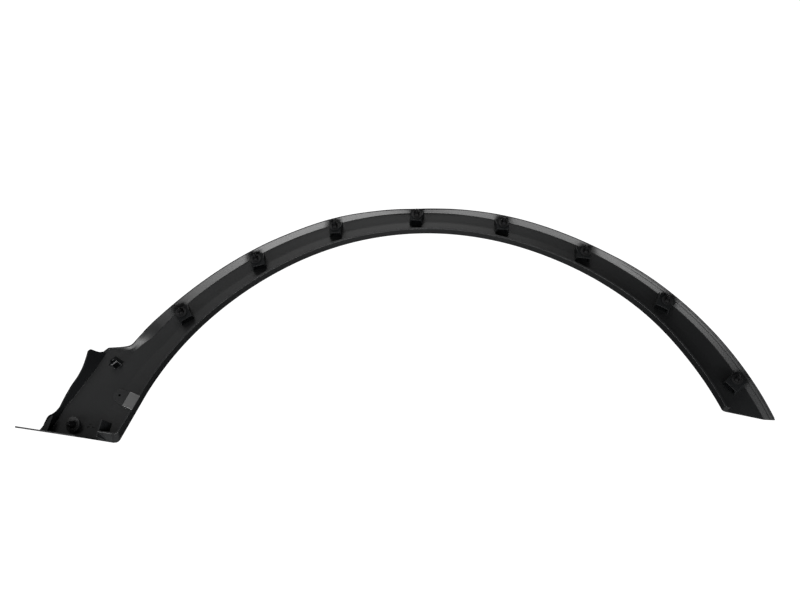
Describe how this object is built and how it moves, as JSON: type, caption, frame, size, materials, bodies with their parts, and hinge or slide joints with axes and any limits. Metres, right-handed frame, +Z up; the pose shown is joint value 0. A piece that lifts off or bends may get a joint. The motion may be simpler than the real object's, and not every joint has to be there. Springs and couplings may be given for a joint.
{
  "type": "wheel arch trim",
  "caption": "Moulded wheel arch trim for a car, shown from its hidden side, with a rolled lip, sealed outer edge, clip towers, push clips and a flanged foot.",
  "frame": {"origin": "seat of the crown clip on the face of the body panel, on that clip's axis", "axes": "+Z up on the car, +X along the car towards the trim's narrow end, -Y in to the body, the way the clips point"},
  "size_m": [0.8969, 0.0376, 0.3253],
  "materials": {
    "moulding": "fine moulded grain with a soft sheen",
    "clips": "smooth moulded",
    "washers": "soft matt",
    "seal": "soft matt"
  },
  "bodies": {
    "root": {"arch_moulding": "moulding", "edge_seal": "seal", "arch_clip_1": "clips", "arch_clip_2": "clips", "arch_clip_3": "clips", "arch_clip_4": "clips", "arch_clip_5": "clips", "arch_clip_6": "clips", "arch_clip_7": "clips", "arch_clip_8": "clips", "clip_washer_1": "washers", "clip_washer_2": "washers", "clip_washer_3": "washers", "clip_washer_4": "washers", "clip_washer_5": "washers", "clip_washer_6": "washers", "clip_washer_7": "washers", "clip_washer_8": "washers", "foot_clip": "clips", "foot_washer": "washers"}
  },
  "joints": []
}
